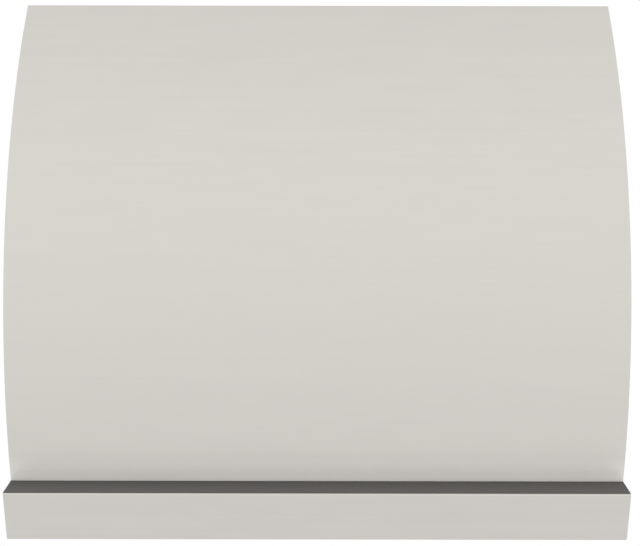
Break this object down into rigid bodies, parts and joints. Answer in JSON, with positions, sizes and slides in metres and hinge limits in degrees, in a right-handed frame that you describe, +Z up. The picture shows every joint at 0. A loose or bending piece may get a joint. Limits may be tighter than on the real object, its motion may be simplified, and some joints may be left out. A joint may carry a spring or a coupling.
{
  "type": "wall-mount range hood",
  "caption": "Wall-mounted canopy range hood with a tall curved steel front, a flat front band, baffle grease filters, lamps and a blower that exhausts upward.",
  "frame": {"origin": "centre of the four wall bolt holes, on the wall plane, at mid height", "axes": "+X to the right as seen from the front, +Y into the wall, +Z up"},
  "size_m": [0.9144, 0.6096, 0.762],
  "materials": {
    "brushed_stainless": "fine horizontal brushed grain, satin",
    "plain_steel": "mill finish, dull",
    "galvanised_steel": "zinc coated, faint spangle",
    "dark_trim": "satin dark grey",
    "filter_steel": "bright satin",
    "handle_steel": "polished",
    "magnet_black": "epoxy coated",
    "spring_steel": "ground",
    "motor_black": "semi-gloss black",
    "lamination_steel": "stacked laminations",
    "rubber_black": "matt",
    "plastic_white": "moulded",
    "plastic_black": "moulded",
    "lamp_trim": "satin chrome",
    "lamp_glass": "frosted",
    "cast_aluminium": "as cast",
    "knob_metal": "satin, fluted",
    "cable_sheath": "smooth sheath",
    "zinc_screws": "zinc plated"
  },
  "bodies": {
    "canopy": {"front_skin": "brushed_stainless", "side_panel_left": "brushed_stainless", "side_panel_right": "brushed_stainless", "front_band": "brushed_stainless", "top_panel": "plain_steel", "back_panel": "galvanised_steel", "back_rail_upper": "galvanised_steel", "back_rail_lower": "galvanised_steel", "ledge_trim": "dark_trim", "control_strip": "brushed_stainless", "front_filter_rail": "plain_steel", "rear_gutter": "brushed_stainless", "filter_liner_left": "brushed_stainless", "filter_liner_right": "brushed_stainless", "filter_magnets": "magnet_black", "cup_clips": "spring_steel", "scroll_left": "galvanised_steel", "scroll_right": "galvanised_steel", "motor_body": "motor_black", "motor_stator": "lamination_steel", "motor_bearings": "spring_steel", "motor_bracket": "galvanised_steel", "bracket_grommets": "rubber_black", "motor_capacitor": "plastic_white", "outlet_box": "galvanised_steel", "duct_collar": "galvanised_steel", "damper_pin": "spring_steel", "lamp_bezels": "lamp_trim", "lamp_lenses": "lamp_glass", "lamp_modules": "cast_aluminium", "lamp_driver": "plastic_white", "fan_switch": "plastic_black", "light_dimmer": "plastic_black", "wiring_box": "galvanised_steel", "wiring_box_cover": "galvanised_steel", "supply_gland": "plastic_black", "terminal_block": "plastic_white", "wiring_harness": "cable_sheath", "shell_screws": "zinc_screws", "inner_screws": "zinc_screws"},
    "rotor": {"motor_shaft": "spring_steel", "motor_core": "lamination_steel", "impeller_left": "galvanised_steel", "impeller_right": "galvanised_steel"},
    "filter_left": {"filter_frame_left": "filter_steel", "filter_baffles_left": "filter_steel", "filter_handle_left": "handle_steel"},
    "filter_centre": {"filter_frame_centre": "filter_steel", "filter_baffles_centre": "filter_steel", "filter_handle_centre": "handle_steel"},
    "filter_right": {"filter_frame_right": "filter_steel", "filter_baffles_right": "filter_steel", "filter_handle_right": "handle_steel"},
    "damper_left": {"damper_flap_left": "galvanised_steel"},
    "damper_right": {"damper_flap_right": "galvanised_steel"},
    "fan_control": {"fan_knob": "knob_metal", "fan_shaft": "spring_steel"},
    "light_control": {"light_knob": "knob_metal", "light_shaft": "spring_steel"},
    "grease_tray": {"grease_cup": "brushed_stainless"}
  },
  "joints": [
    {"name": "rotor_spin", "type": "hinge", "parent": "canopy", "child": "rotor", "pos_m": [0, -0.2, 0.059], "axis": [1, 0, 0], "continuous": true},
    {"name": "filter_left_swing", "type": "hinge", "parent": "canopy", "child": "filter_left", "pos_m": [-0.294, -0.074, -0.329], "axis": [1, 0, 0], "range_deg": [0, 75]},
    {"name": "filter_centre_swing", "type": "hinge", "parent": "canopy", "child": "filter_centre", "pos_m": [0, -0.074, -0.329], "axis": [1, 0, 0], "range_deg": [0, 75]},
    {"name": "filter_right_swing", "type": "hinge", "parent": "canopy", "child": "filter_right", "pos_m": [0.294, -0.074, -0.329], "axis": [1, 0, 0], "range_deg": [0, 75]},
    {"name": "damper_left_lift", "type": "hinge", "parent": "canopy", "child": "damper_left", "pos_m": [-0.005, -0.152, 0.283], "axis": [0, 1, 0], "range_deg": [0, 80]},
    {"name": "damper_right_lift", "type": "hinge", "parent": "canopy", "child": "damper_right", "pos_m": [0.005, -0.152, 0.283], "axis": [0, -1, 0], "range_deg": [0, 80]},
    {"name": "fan_knob_turn", "type": "hinge", "parent": "canopy", "child": "fan_control", "pos_m": [-0.06, -0.5376, -0.355], "axis": [0, 0, 1], "range_deg": [0, 135]},
    {"name": "light_knob_turn", "type": "hinge", "parent": "canopy", "child": "light_control", "pos_m": [0.06, -0.5376, -0.355], "axis": [0, 0, 1], "range_deg": [0, 270]},
    {"name": "grease_cup_pull", "type": "slide", "parent": "canopy", "child": "grease_tray", "axis": [0, 0, -1], "range_m": [0, 0.06]}
  ]
}
